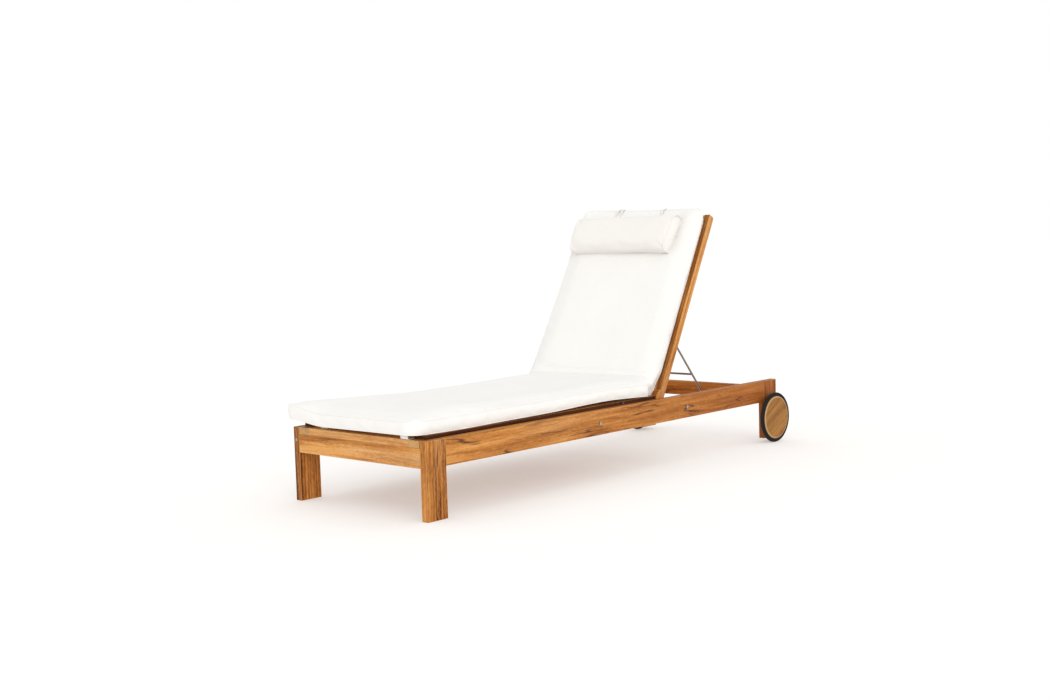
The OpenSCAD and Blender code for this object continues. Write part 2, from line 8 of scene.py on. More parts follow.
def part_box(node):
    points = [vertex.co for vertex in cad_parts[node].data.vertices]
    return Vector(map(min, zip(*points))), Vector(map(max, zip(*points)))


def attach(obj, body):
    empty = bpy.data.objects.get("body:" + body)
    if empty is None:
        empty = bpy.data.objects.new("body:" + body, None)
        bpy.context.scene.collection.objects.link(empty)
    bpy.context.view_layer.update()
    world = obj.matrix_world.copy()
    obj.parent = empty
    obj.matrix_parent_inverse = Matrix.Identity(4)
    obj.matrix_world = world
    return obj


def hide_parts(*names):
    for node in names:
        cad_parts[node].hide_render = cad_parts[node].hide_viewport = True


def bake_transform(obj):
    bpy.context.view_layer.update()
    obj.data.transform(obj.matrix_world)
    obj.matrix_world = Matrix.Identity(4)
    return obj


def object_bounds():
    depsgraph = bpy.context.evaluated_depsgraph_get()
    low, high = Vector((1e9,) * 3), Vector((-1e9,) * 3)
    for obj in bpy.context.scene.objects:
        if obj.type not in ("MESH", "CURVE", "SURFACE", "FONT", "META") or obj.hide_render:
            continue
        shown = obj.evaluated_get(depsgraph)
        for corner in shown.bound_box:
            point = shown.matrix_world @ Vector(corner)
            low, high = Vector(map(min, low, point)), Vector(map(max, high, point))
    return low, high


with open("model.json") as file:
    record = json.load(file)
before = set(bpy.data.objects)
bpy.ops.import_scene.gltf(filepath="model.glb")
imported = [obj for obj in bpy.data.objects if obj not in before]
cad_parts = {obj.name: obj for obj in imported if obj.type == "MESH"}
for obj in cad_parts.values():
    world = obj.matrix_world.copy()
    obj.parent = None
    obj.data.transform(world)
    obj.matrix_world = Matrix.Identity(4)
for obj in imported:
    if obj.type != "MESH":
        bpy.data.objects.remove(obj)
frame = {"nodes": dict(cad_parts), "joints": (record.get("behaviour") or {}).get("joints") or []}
cad_low, cad_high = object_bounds()

# Joints and angles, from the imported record
JOINTS = {joint["name"]: joint for joint in frame["joints"]}
HINGE = Vector(JOINTS["backrest_recline"]["pos_m"])
RECLINE = -math.radians(JOINTS["backrest_recline"]["range_deg"][0])
AXLE = Vector(JOINTS["wheel_right_spin"]["pos_m"])
UP_BACK = Vector((0, math.cos(RECLINE), math.sin(RECLINE)))
OUT_BACK = Vector((0, -math.sin(RECLINE), math.cos(RECLINE)))
NODES = frame["nodes"]


def on_back(x, u, w):
    """The point u up the backrest and w out of its front, in the row frame."""
    return HINGE + Vector((x, 0, 0)) + u * UP_BACK + w * OUT_BACK


def back_box(node):
    """The lowest and highest x, u and w of a node on the backrest."""
    spots = [vertex.co - HINGE for vertex in NODES[node].data.vertices]
    rows = [(p.x, p.dot(UP_BACK), p.dot(OUT_BACK)) for p in spots]
    return [min(column) for column in zip(*rows)], [max(column) for column in zip(*rows)]


def smooth(low, high, value):
    """0 below low, 1 above high, and a smooth step between them."""
    t = min(1.0, max(0.0, (value - low) / (high - low)))
    return t * t * (3 - 2 * t)


# ---------------------------------------------------------------- camera, light and floor

CAMERA_AT = Vector((3.3896, -3.8494, 0.8816))
CAMERA_AZIMUTH = math.radians(42.8605)
CAMERA_ELEVATION = math.radians(4.8012)
CAMERA_ROLL = math.radians(-1.7526)
CAMERA_LENS = 46.41


def make_camera():
    data = bpy.data.cameras.new("camera")
    data.lens = CAMERA_LENS
    data.sensor_width = 36
    data.clip_end = 60
    camera = bpy.data.objects.new("camera", data)
    bpy.context.scene.collection.objects.link(camera)
    camera.location = CAMERA_AT
    look = Vector((-math.sin(CAMERA_AZIMUTH) * math.cos(CAMERA_ELEVATION),
                   math.cos(CAMERA_AZIMUTH) * math.cos(CAMERA_ELEVATION),
                   -math.sin(CAMERA_ELEVATION)))
    turn = look.to_track_quat("-Z", "Y")
    roll = Euler((0, 0, CAMERA_ROLL)).to_quaternion()
    camera.rotation_mode = "QUATERNION"
    camera.rotation_quaternion = turn @ roll
    bpy.context.scene.camera = camera


def make_world():
    world = bpy.data.worlds.new("studio")
    world.use_nodes = True
    background = world.node_tree.nodes["Background"]
    background.inputs["Color"].default_value = (1.0, 1.0, 1.0, 1)
    background.inputs["Strength"].default_value = 1.0
    bpy.context.scene.world = world
    bpy.context.scene.view_settings.view_transform = "Standard"


def make_sun(name, direction, strength, spread, colour):
    """A soft light from far away: direction points from the object to the light."""
    data = bpy.data.lights.new(name, "SUN")
    data.energy = strength
    data.angle = math.radians(spread)
    data.color = colour
    light = bpy.data.objects.new(name, data)
    light.rotation_mode = "QUATERNION"
    light.rotation_quaternion = Vector(direction).to_track_quat("Z", "Y")
    bpy.context.scene.collection.objects.link(light)


def make_floor():
    mesh = bpy.data.meshes.new("floor")
    reach = 30
    mesh.from_pydata([(-reach, -reach, 0), (reach, -reach, 0), (reach, reach, 0), (-reach, reach, 0)],
                     [], [(0, 1, 2, 3)])
    floor = bpy.data.objects.new("floor", mesh)
    bpy.context.scene.collection.objects.link(floor)
    maker = Material("floor")
    maker.finish(colour=(0.62, 0.61, 0.60), roughness=0.9, specular=0.1,
                 Emission_Color=(1.0, 0.98, 0.955, 1), Emission_Strength=0.36)
    mesh.materials.append(maker.material)


# ---------------------------------------------------------------- materials

class Material:
    """A material's node tree, with one short call for each node."""

    def __init__(self, name):
        self.material = bpy.data.materials.new(name)
        self.material.use_nodes = True
        self.tree = self.material.node_tree
        self.shader = self.tree.nodes["Principled BSDF"]

    def add(self, kind, inputs=None, output=0, **settings):
        """A node of this kind, with its inputs set or linked. Returns the output asked for."""
        node = self.tree.nodes.new("ShaderNode" + kind)
        for key, value in settings.items():
            setattr(node, key, value)
        for key, value in (inputs or {}).items():
            self.put(node.inputs[key], value)
        return node.outputs[output]

    def put(self, socket, value):
        if isinstance(value, bpy.types.NodeSocket):
            self.tree.links.new(value, socket)
        elif isinstance(value, (tuple, list, Vector)) and socket.type == "RGBA":
            socket.default_value = (*value, 1)
        else:
            socket.default_value = value

    def place(self, turn=(0, 0, 0), stretch=(1, 1, 1), shift=(0, 0, 0), start=None):
        """Coordinates fixed to the piece: turned first, then stretched and shifted."""
        if start is None:
            start = self.add("TexCoord", output="Object")
        turned = self.add("Mapping", {"Vector": start, "Rotation": turn})
        return self.add("Mapping", {"Vector": turned, "Scale": stretch, "Location": shift})

    def noise(self, vector, scale=1.0, detail=2.0, roughness=0.5):
        return self.add("TexNoise", {"Vector": vector, "Scale": scale, "Detail": detail,
                                     "Roughness": roughness})

    def math(self, operation, a, b=0.0, c=0.0, clamp=False):
        return self.add("Math", {0: a, 1: b, 2: c}, operation=operation, use_clamp=clamp)

    def remap(self, value, low, high, to_low=0.0, to_high=1.0):
        return self.add("MapRange", {"Value": value, "From Min": low, "From Max": high,
                                     "To Min": to_low, "To Max": to_high})

    def mix(self, factor, a, b, blend="MIX"):
        node = self.tree.nodes.new("ShaderNodeMix")
        node.data_type = "RGBA"
        node.blend_type = blend
        self.put(node.inputs["Factor"], factor)
        self.put(node.inputs[6], a)
        self.put(node.inputs[7], b)
        return node.outputs[2]

    def ramp(self, factor, stops):
        """A colour ramp through (position, colour) stops."""
        node = self.tree.nodes.new("ShaderNodeValToRGB")
        self.put(node.inputs[0], factor)
        elements = node.color_ramp.elements
        while len(elements) < len(stops):
            elements.new(0.5)
        for element, (position, colour) in zip(elements, stops):
            element.position = position
            element.color = (*colour, 1)
        return node.outputs[0]

    def bump(self, height, distance, strength=1.0):
        return self.add("Bump", {"Height": height, "Distance": distance, "Strength": strength})

    def finish(self, colour, roughness, specular=0.5, metallic=0.0, normal=None, **direct):
        """Sets the shader's sockets; direct holds the ones that are plain numbers."""
        self.put(self.shader.inputs["Base Color"], colour)
        self.put(self.shader.inputs["Roughness"], roughness)
        self.shader.inputs["Specular IOR Level"].default_value = specular
        self.shader.inputs["Metallic"].default_value = metallic
        if normal is not None:
            self.put(self.shader.inputs["Normal"], normal)
        for key, value in direct.items():
            self.shader.inputs[key.replace("_", " ")].default_value = value
        return self.material


# Turns that bring a board's grain onto the texture's X axis
GRAIN_X = (0, 0, 0)
GRAIN_Y = (0, 0, -math.pi / 2)
GRAIN_Z = (0, math.pi / 2, 0)
GRAIN_UP_BACK = (-RECLINE, 0, -math.pi / 2)
GRAIN_WHEEL = (-math.radians(28), 0, -math.pi / 2)

# Teak's colours, from the darkest late wood to the palest sapwood
TEAK = ((0.00, (0.085, 0.021, 0.004)), (0.30, (0.340, 0.118, 0.020)),
        (0.62, (0.510, 0.205, 0.044)), (1.00, (0.700, 0.345, 0.100)))
# Painted shade: the tint a board is darkened by towards the head end
TEAK_HEAD_SHADE = (0.64, 0.48, 0.29)
TEAK_LINE = (0.085, 0.025, 0.008)
TEAK_SAP = (0.70, 0.46, 0.24)
TEAK_DISC = (0.80, 0.95, 1.0)


# Where the painted highlight on a wheel's wooden rim begins and is full, and where its tyre's tread begins to
# grey and is fully grey, as distances from the axle
RIM_HIGHLIGHT = (0.079, 0.086)
TREAD = (0.1005, 0.1025)


def wheel_radius(m):
    """The distance from the axle of a point on a wheel."""
    middle = m.add("VectorMath", {0: m.add("TexCoord", output="Object"), 1: tuple(-AXLE)},
                   output="Vector", operation="ADD")
    flat = m.add("VectorMath", {0: middle, 1: (0, 1, 1)}, output="Vector", operation="MULTIPLY")
    return m.add("VectorMath", {0: flat}, output="Value", operation="LENGTH")


# The colour of end grain, and the paler one of the seat stiles' ends
END_WOOD = (0.27, 0.115, 0.040)
SEAT_END_WOOD = (0.54, 0.37, 0.165)

# Where along Y the painted shade on a board begins, and where it is darkest
HEAD_SHADE_FROM, HEAD_SHADE_TO = -0.35, 0.8


def teak(name, turn, seed, lightness=0.0, sap=0.0, lines=1.0, head_shade=0.0, figure=1.0, disc=False,
         shaded=(), end_wood=END_WOOD):
    """Oiled teak.

    seed moves the pattern, so that no two boards match; sap is how much pale wood shows, head_shade is how
    much darker the wood is painted towards the head end, as painted shade; figure is the pattern's strength,
    disc is for a wheel's greyer wood with a painted highlight on its rim, shaded holds (direction, tint,
    start) for painted shade on faces that look that way and lie past start along Y, and end_wood is the end
    grain's colour.
    """
    m = Material(name)
    shift = (seed * 1.37, seed * 0.731, seed * 0.517)
    straight = m.place(turn)
    slow = m.place(stretch=(1.6, 7, 7), shift=shift, start=straight)
    wander = m.add("TexNoise", {"Vector": slow, "Scale": 1.0, "Detail": 1.0}, output="Color")
    wander = m.add("VectorMath", {0: wander, 1: (0, 0.030, 0.030)}, output="Vector", operation="MULTIPLY")
    grain = m.add("VectorMath", {0: straight, 1: wander}, output="Vector", operation="ADD")

    def layer_of(stretch, detail, roughness=0.5, offset=shift):
        place = m.place(stretch=stretch, shift=offset, start=grain)
        return m.noise(place, detail=detail, roughness=roughness)

    broad = layer_of((1.6, 22, 22), 3, 0.55)
    heart = (seed * 0.1, 0.05 + 0.013 * (seed % 5), -0.14)
    rings_at = m.place(stretch=(0.22, 1, 1), shift=heart, start=grain)
    rings = m.add("TexWave", {"Vector": rings_at, "Scale": 26, "Distortion": 5.0, "Detail": 3,
                              "Detail Scale": 9.0, "Detail Roughness": 0.55},
                  output="Fac", wave_type="RINGS", rings_direction="X", wave_profile="SIN")
    streaks = layer_of((4, 120, 120), 4, 0.6)
    fibres = layer_of((18, 900, 900), 2)
    tone = m.math("MULTIPLY_ADD", broad, 1.5 * figure, lightness + 0.605 - 0.90 * figure)
    tone = m.math("MULTIPLY_ADD", rings, 0.30 * figure, tone)
    tone = m.math("MULTIPLY_ADD", m.math("SUBTRACT", streaks, 0.5), 1.3 * figure, tone)
    tone = m.math("MULTIPLY_ADD", m.math("SUBTRACT", fibres, 0.5), 0.30, tone, clamp=True)
    colour = m.ramp(tone, TEAK)

    # Pale sapwood in a few wide bands
    sap_band = m.remap(layer_of((1.1, 11, 11), 2), 0.62 - 0.2 * sap, 0.78)
    colour = m.mix(m.math("MULTIPLY", sap_band, sap), colour, TEAK_SAP)

    # Thin dark lines where a growth ring comes out at a low angle, broken along their length
    contour = layer_of((1.3, 17, 17), 3, 0.6, (seed * 0.9, seed * 0.4, 3.1))
    ridge = m.remap(m.math("ABSOLUTE", m.math("SUBTRACT", contour, 0.53)), 0.003, 0.019, 1.0, 0.0)
    broken = m.remap(layer_of((4, 20, 20), 1), 0.44, 0.60)
    colour = m.mix(m.math("MULTIPLY", m.math("MULTIPLY", ridge, broken), 0.9 * lines), colour, TEAK_LINE)

    # Open pores, as short dark dashes along the grain
    pores = m.remap(layer_of((60, 1400, 1400), 1), 0.64, 0.72)
    colour = m.mix(m.math("MULTIPLY", pores, 0.45), colour, TEAK_LINE)

    # End grain is darker, because it drinks more oil
    along = Vector((1, 0, 0))
    along.rotate(Euler(turn).to_matrix().inverted())
    facing = m.add("VectorMath", {0: m.add("TexCoord", output="Normal"), 1: along},
                   output="Value", operation="DOT_PRODUCT")
    end = m.remap(m.math("ABSOLUTE", facing), 0.75, 0.95)
    colour = m.mix(m.math("MULTIPLY", end, 0.55), colour, end_wood)
    # Painted shade: the board is darkened towards the head end
    if head_shade:
        length = m.add("SeparateXYZ", {0: m.add("TexCoord", output="Object")}, output="Y")
        colour = m.mix(m.remap(length, HEAD_SHADE_FROM, HEAD_SHADE_TO, 0.0, head_shade), colour, TEAK_HEAD_SHADE, blend="MULTIPLY")
    if disc:
        colour = m.mix(1.0, colour, TEAK_DISC, blend="MULTIPLY")
        # Painted highlight: the wooden disc pales towards its rim
        colour = m.mix(m.math("MULTIPLY", m.remap(wheel_radius(m), *RIM_HIGHLIGHT), 0.5), colour, TEAK_SAP)
    # Painted shade: faces that look one way, past a place along Y, are darkened
    for direction, tint, start in shaded:
        towards = m.add("VectorMath", {0: m.add("TexCoord", output="Normal"), 1: direction},
                        output="Value", operation="DOT_PRODUCT")
        length = m.add("SeparateXYZ", {0: m.add("TexCoord", output="Object")}, output="Y")
        share = m.math("MULTIPLY", m.remap(towards, 0.5, 0.8), m.math("GREATER_THAN", length, start))
        colour = m.mix(share, colour, tint, blend="MULTIPLY")

    height = m.math("SUBTRACT", m.math("MULTIPLY", fibres, 0.4), pores)
    rough = m.remap(streaks, 0.3, 0.7, 0.58, 0.42)
    return m.finish(colour, rough, specular=0.16, normal=m.bump(height, 0.00025, 0.6))


def teak_edge(name, turn, seed):
    """The rounded arris of a teak board, paler than its faces."""
    m = Material(name)
    streaks = m.noise(m.place(turn, (6, 120, 120), (seed, seed, 0)), detail=3)
    colour = m.ramp(streaks, ((0.3, (0.42, 0.17, 0.040)), (0.7, (0.60, 0.30, 0.090))))
    return m.finish(colour, 0.45, specular=0.2)


def steel(name, colour, rough, turn=GRAIN_X):
    """Satin stainless steel with fine brushing along one way and a few handling marks."""
    m = Material(name)
    brush = m.noise(m.place(turn, (60, 3000, 3000)), detail=2)
    marks = m.noise(m.place(stretch=(90, 90, 90)), detail=3)
    tint = m.remap(marks, 0.35, 0.7, 0.86, 1.0)
    shade = m.add("CombineColor", {"Red": m.math("MULTIPLY", tint, colour[0]),
                                   "Green": m.math("MULTIPLY", tint, colour[1]),
                                   "Blue": m.math("MULTIPLY", tint, colour[2])})
    return m.finish(shade, m.remap(marks, 0.3, 0.7, rough - 0.06, rough + 0.08), metallic=1.0,
                    normal=m.bump(brush, 0.00008, 0.4))


def rubber(name):
    """Solid black rubber, greyer in patches on its tread."""
    m = Material(name)
    tread = m.remap(wheel_radius(m), *TREAD)
    blotches = m.noise(m.place(stretch=(80, 80, 80)), detail=4)
    tread_grey = m.math("MULTIPLY", tread, m.remap(blotches, 0.3, 0.7, 0.25, 0.9))
    colour = m.mix(tread_grey, (0.005, 0.0052, 0.0052), (0.024, 0.024, 0.022))
    grain = m.noise(m.place(stretch=(900, 900, 900)), detail=2)
    return m.finish(colour, m.remap(blotches, 0.3, 0.7, 0.5, 0.7), specular=0.14,
                    normal=m.bump(grain, 0.0002, 0.5))


def nylon(name):
    """Off-white moulded nylon with a faint mottle."""
    m = Material(name)
    mottle = m.noise(m.place(stretch=(150, 150, 150)), detail=3)
    colour = m.ramp(mottle, ((0.3, (0.74, 0.73, 0.69)), (0.7, (0.86, 0.85, 0.82))))
    return m.finish(colour, m.remap(mottle, 0.3, 0.7, 0.35, 0.5), specular=0.45,
                    normal=m.bump(mottle, 0.0001, 0.3))


def canvas(name, tint, pitch, depth):
    """Plain-woven outdoor canvas. Its weave follows the piece's own UV map, which is in metres."""
    m = Material(name)
    cloth = m.add("TexCoord", output="UV")
    threads = [m.add("TexWave", {"Vector": cloth, "Scale": 2 * math.pi / (20 * pitch), "Distortion": 0.6,
                                 "Detail": 1.0, "Detail Scale": 1.5}, output="Fac",
                     wave_type="BANDS", bands_direction=axis) for axis in "XY"]
    weave = m.math("MULTIPLY", threads[0], threads[1])
    slubs = [m.noise(m.place(stretch=stretch, start=cloth), detail=2)
             for stretch in ((30, 1100, 1), (1100, 30, 1))]
    slub = m.math("ADD", slubs[0], slubs[1])
    mottle = m.noise(m.place(stretch=(5, 5, 5)), detail=3)
    shade = m.math("ADD", m.remap(slub, 0.7, 1.3, 0.975, 1.015), m.remap(mottle, 0.3, 0.7, -0.012, 0.012))
    shade = m.math("MULTIPLY_ADD", weave, 0.02, m.math("SUBTRACT", shade, 0.01))
    colour = m.add("CombineColor", {"Red": m.math("MULTIPLY", shade, tint[0]),
                                    "Green": m.math("MULTIPLY", shade, tint[1]),
                                    "Blue": m.math("MULTIPLY", shade, tint[2])})
    height = m.math("MULTIPLY_ADD", slub, 0.5, weave)
    return m.finish(colour, 0.88, specular=0.2, normal=m.bump(height, depth, 0.5),
                    Sheen_Weight=0.15, Sheen_Roughness=0.5)


# ---------------------------------------------------------------- the CAD pieces' looks

BOARDS = {
    # node: (turn, seed, lightness, sap, lines, head_shade), head_shade being the painted shade towards the
    # head end
    "side_rail_left": (GRAIN_Y, 3, -0.16, 0.2, 0.8, 0.8),
    "side_rail_right": (GRAIN_Y, 14, -0.06, 0.2, 1.0, 1.0),
    "foot_leg_left": (GRAIN_Z, 5, -0.29, 0.2, 0.8, 0.0),
    "foot_leg_right": (GRAIN_Z, 12, -0.08, 0.2, 1.0, 0.0),
    "head_leg_left": (GRAIN_Z, 17, -0.05, 0.2, 0.8, 0.0),
    "head_leg_right": (GRAIN_Z, 21, -0.14, 0.15, 0.8, 1.0),
    "foot_rail": (GRAIN_X, 26, 0.08, 1.0, 0.8, 0.0),
    "head_rail": (GRAIN_X, 31, -0.10, 0.2, 0.8, 1.0),
    "mid_rail": (GRAIN_X, 34, 0.0, 0.3, 0.8, 0.0),
    "hinge_rail": (GRAIN_X, 38, 0.0, 0.3, 0.8, 0.0),
    "seat_stile_left": (GRAIN_Y, 41, -0.10, 0.2, 0.8, 1.0),
    "seat_stile_right": (GRAIN_Y, 45, -0.10, 0.2, 0.8, 1.0),
    "seat_front_rail": (GRAIN_X, 87, 0.16, 0.5, 0.6, 0.0),
    "seat_slats": (GRAIN_X, 50, 0.0, 0.3, 0.8, 0.0),
    "back_stile_left": (GRAIN_UP_BACK, 53, 0.0, 0.5, 0.8, 0.0),
    "back_stile_right": (GRAIN_UP_BACK, 58, -0.02, 0.9, 0.5, 0.0),
    "back_top_rail": (GRAIN_X, 61, 0.05, 0.3, 0.8, 0.0),
    "rack_left": (GRAIN_Y, 64, -0.08, 0.2, 0.6, 0.8),
    "rack_right": (GRAIN_Y, 67, -0.12, 0.2, 0.6, 0.8),
    "wheel_core_left": (GRAIN_WHEEL, 70, -0.05, 0.2, 0.8, 0.0),
    "wheel_core_right": (GRAIN_WHEEL, 73, -0.05, 0.2, 0.8, 0.0),
    "wheel_cover_left": (GRAIN_WHEEL, 77, -0.26, 0.3, 0.6, 0.0),
    "wheel_cover_right": (GRAIN_WHEEL, 81, -0.26, 0.3, 0.6, 0.0),
}
for number in range(1, 9):
    slat_tone = 0.02 + 0.05 * math.sin(2.3 * number)
    BOARDS[f"back_slat_{number}"] = (GRAIN_X, 90 + 3 * number, slat_tone, 0.4, 0.8, 0.0)

# Faces painted darker than the lights make them: a direction, a tint and where along Y it starts
BACK_FRONTS = [(OUT_BACK, (0.56, 0.48, 0.36), cad_low.y)]
GAP_TINT = (0.13, 0.07, 0.05)
SEAT_STEP = ((0, -1, 0), GAP_TINT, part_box("foot_rail")[0].y + 0.010)
SHADED = {"back_stile_left": BACK_FRONTS, "back_stile_right": BACK_FRONTS,
          "seat_stile_left": [((-1, 0, 0), GAP_TINT, cad_low.y), SEAT_STEP],
          "seat_stile_right": [((1, 0, 0), GAP_TINT, cad_low.y), SEAT_STEP]}

EDGE = 0.0010
FINE_EDGE = 0.0005


def soften(node, width, edge_material=None):
    """Rounds the arrises of a CAD board with modifiers, and shows them in the paler edge wood."""
    piece = NODES[node]
    weld = piece.modifiers.new("weld", "WELD")
    weld.merge_threshold = 0.00002
    flat = piece.modifiers.new("flat", "DECIMATE")
    flat.decimate_type = "DISSOLVE"
    flat.angle_limit = math.radians(0.5)
    bevel = piece.modifiers.new("edge", "BEVEL")
    bevel.width = width
    bevel.segments = 2
    bevel.limit_method = "ANGLE"
    bevel.angle_limit = math.radians(40)
    bevel.use_clamp_overlap = False
    if edge_material is not None:
        piece.data.materials.append(edge_material)
        bevel.material = len(piece.data.materials) - 1
    shade = piece.modifiers.new("shade", "WEIGHTED_NORMAL")
    shade.keep_sharp = True


def paint(node, material):
    """Gives a CAD node one material in place of its own."""
    materials = NODES[node].data.materials
    materials.clear()
    materials.append(material)


# How strong the grain's pattern is on the quieter boards, by the start of the node's name
FIGURES = {"wheel_cover": 0.5, "side_rail": 0.75}


def finish_boards():
    for node, (turn, seed, lightness, sap, lines, head_shade) in BOARDS.items():
        figure = next((value for start, value in FIGURES.items() if node.startswith(start)), 1.0)
        end_wood = SEAT_END_WOOD if node.startswith("seat_stile") else END_WOOD
        wood = teak("teak_" + node, turn, seed, lightness, sap, lines, head_shade, figure,
                    disc=node.startswith("wheel_cover"), shaded=SHADED.get(node, ()), end_wood=end_wood)
        paint(node, wood)
        if node.startswith("seat_stile"):
            soften(node, EDGE)
        elif not node.startswith("wheel"):
            soften(node, EDGE, teak_edge("edge_" + node, turn, seed))
    dowels = teak("dowel_wood", GRAIN_Y, 7, 0.2, 0.8, 0.3)
    paint("frame_dowels", dowels)


def finish_metal():
    bright = steel("fastener_steel", (0.44, 0.43, 0.40), 0.34)
    rod = steel("prop_steel", (0.30, 0.27, 0.24), 0.36)
    for node in ("rail_bolts", "barrel_nuts", "leg_bolts", "hinge_bolts", "bracket_screws", "rack_screws",
                 "axle_bolts", "axle_nuts", "axle_washers", "prop_pins", "prop_brackets"):
        paint(node, bright)
        soften(node, FINE_EDGE)
    for node in ("prop_rod_left", "prop_rod_right", "prop_crossbar", "prop_foot_pegs"):
        paint(node, rod)
    plastic = nylon("nylon")
    for node in ("hinge_bushes", "hinge_washers", "wheel_bush_left", "wheel_bush_right"):
        paint(node, plastic)
    black = rubber("tyre_rubber")
    for node in ("tyre_left", "tyre_right"):
        paint(node, black)


# ---------------------------------------------------------------- soft goods

def new_piece(name, points, faces, cloth, material):
    """A smooth-shaded mesh piece; cloth holds each point's place on the flat cloth, in metres."""
    mesh = bpy.data.meshes.new(name)
    mesh.from_pydata(points, [], faces)
    layer = mesh.uv_layers.new(name="cloth")
    layer.data.foreach_set("uv", [value for face in faces for vertex in face for value in cloth[vertex]])
    mesh.materials.append(material)
    mesh.shade_smooth()
    mesh.update()
    piece = bpy.data.objects.new(name, mesh)
    bpy.context.scene.collection.objects.link(piece)
    return piece


def subdivide(piece):
    smoother = piece.modifiers.new("smooth", "SUBSURF")
    smoother.levels = smoother.render_levels = 1


CLOTH_FRAMES = 20


def swell(piece, pinned, pressure, ease, cap):
    """Fills a sewn cover for a moment by cloth simulation, so that it settles and puckers at its seams.

    The pinned points stay, ease is how much longer the cloth is than the filling's outline, and no point
    moves further than cap.
    """
    group = piece.vertex_groups.new(name="pinned")
    group.add(pinned, 1.0, "REPLACE")
    cloth = piece.modifiers.new("cloth", "CLOTH")
    settings = cloth.settings
    settings.quality = 6
    settings.mass = 0.3
    settings.tension_stiffness = settings.compression_stiffness = 20
    settings.shear_stiffness = 8
    settings.bending_stiffness = 0.4
    settings.use_pressure = True
    settings.uniform_pressure_force = pressure
    settings.shrink_min = -ease
    settings.vertex_group_mass = group.name
    settings.effector_weights.gravity = 0
    scene = bpy.context.scene
    for number in range(1, CLOTH_FRAMES + 1):
        scene.frame_set(number)
    settled = piece.evaluated_get(bpy.context.evaluated_depsgraph_get()).to_mesh()
    for vertex, end in zip(piece.data.vertices, [v.co.copy() for v in settled.vertices]):
        move = end - vertex.co
        vertex.co += move * min(1.0, cap / max(move.length, cap))
    piece.modifiers.remove(cloth)
    piece.vertex_groups.remove(group)
    scene.frame_set(1)
    piece.data.update()


def spread(length, step, fine_start, fine_end):
    """Places from 0 to length, a step apart, with finer ones near each end where a seam runs."""
    near = [0.0, 0.0025, 0.006, 0.011, 0.018, 0.027]
    start = near if fine_start else [0.0]
    end = [length - value for value in reversed(near)] if fine_end else [length]
    count = max(1, round((end[0] - start[-1]) / step))
    middle = [start[-1] + (end[0] - start[-1]) * i / count for i in range(1, count)]
    return start + middle + end


def clamp(value, low, high):
    return min(high, max(low, value))


SEAT_LOW, SEAT_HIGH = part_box("seat_cushion")
BACK_LOW, BACK_HIGH = back_box("back_cushion")
PILLOW_LOW, PILLOW_HIGH = back_box("head_pillow")
THICK = SEAT_HIGH.z - SEAT_LOW.z
HALF = SEAT_HIGH.x
FOOT_RADII = {-1: 0.034, 1: 0.055}
TOP_RADIUS = 0.042
PLAN_RADIUS = 0.026
STEP = 0.014

# The fold: where the planes of the seat and of the back meet, below (rear) and above (front)
SIN, COS = math.sin(RECLINE), math.cos(RECLINE)


def push_at(x):
    """How far the fold holds the lower end of the back cushion off its slats, most on the left."""
    return 0.004 + 0.030 * smooth(-HALF, HALF, -x)


def fold_at(height, push):
    """(y, u) where the cushion's layer at this height turns from the seat to the back."""
    z = SEAT_LOW.z + height
    w = BACK_LOW[2] + push + height
    u = (z - HINGE.z - w * COS) / SIN
    return HINGE.y + u * COS - w * SIN, u


FOLD_BELOW = fold_at(0, 0)
SEAT_LENGTH = FOLD_BELOW[0] - SEAT_LOW.y
BACK_LENGTH = BACK_HIGH[1] - FOLD_BELOW[1]
CUSHION_LENGTH = SEAT_LENGTH + BACK_LENGTH
SQUEEZE = 0.16
SKEW = 0.014
FOOT_REACH = 0.2


def rise_at(x):
    """How far the top edge of the back cushion stands up past its usual length, most on the left."""
    return 0.0070 + 0.0105 * smooth(-0.05, HALF, -x)


def bend(x, s, height):
    """The point s along the cushion from its foot end and height above its underside, folded in place."""
    push = push_at(x)
    fold_y, fold_u = fold_at(height, push)
    from_fold = s - SEAT_LENGTH
    share = max(0.0, 1 - abs(from_fold) / SQUEEZE)
    if from_fold <= 0:
        skew = SKEW * smooth(-HALF, HALF, -x) * math.exp(-(s / FOOT_REACH) ** 2)
        return Vector((x, SEAT_LOW.y + s - skew - share * (FOLD_BELOW[0] - fold_y), SEAT_LOW.z + height))
    w = BACK_LOW[2] + height + push * (1 - min(1.0, from_fold / BACK_LENGTH))
    from_fold += rise_at(x) * smooth(0.3 * BACK_LENGTH, BACK_LENGTH, from_fold)
    return on_back(x, FOLD_BELOW[1] + from_fold + share * (fold_u - FOLD_BELOW[1]), w)


SEAM_DROP = 0.007


def crown_at(x, s):
    """How far the top panel stands above its seam: full at the foot and the fold, pressed by the pillow."""
    seat = 0.0066 + 0.0090 * math.exp(-((s - 0.24) / 0.16) ** 2) + 0.0048 * smooth(0.82, 1.05, s)
    u = s - SEAT_LENGTH + FOLD_BELOW[1]
    pressed = smooth(PILLOW_LOW[1] - 0.02, PILLOW_LOW[1] + 0.02, u)
    pressed *= smooth(PILLOW_LOW[0] - 0.03, PILLOW_LOW[0] + 0.02, x)
    pressed *= smooth(-PILLOW_HIGH[0] - 0.03, 0.02 - PILLOW_HIGH[0], -x)
    seat, back = seat + SEAM_DROP, SEAM_DROP + 0.010 - 0.010 * pressed
    return seat + (back - seat) * smooth(SEAT_LENGTH - 0.05, SEAT_LENGTH + 0.15, s)


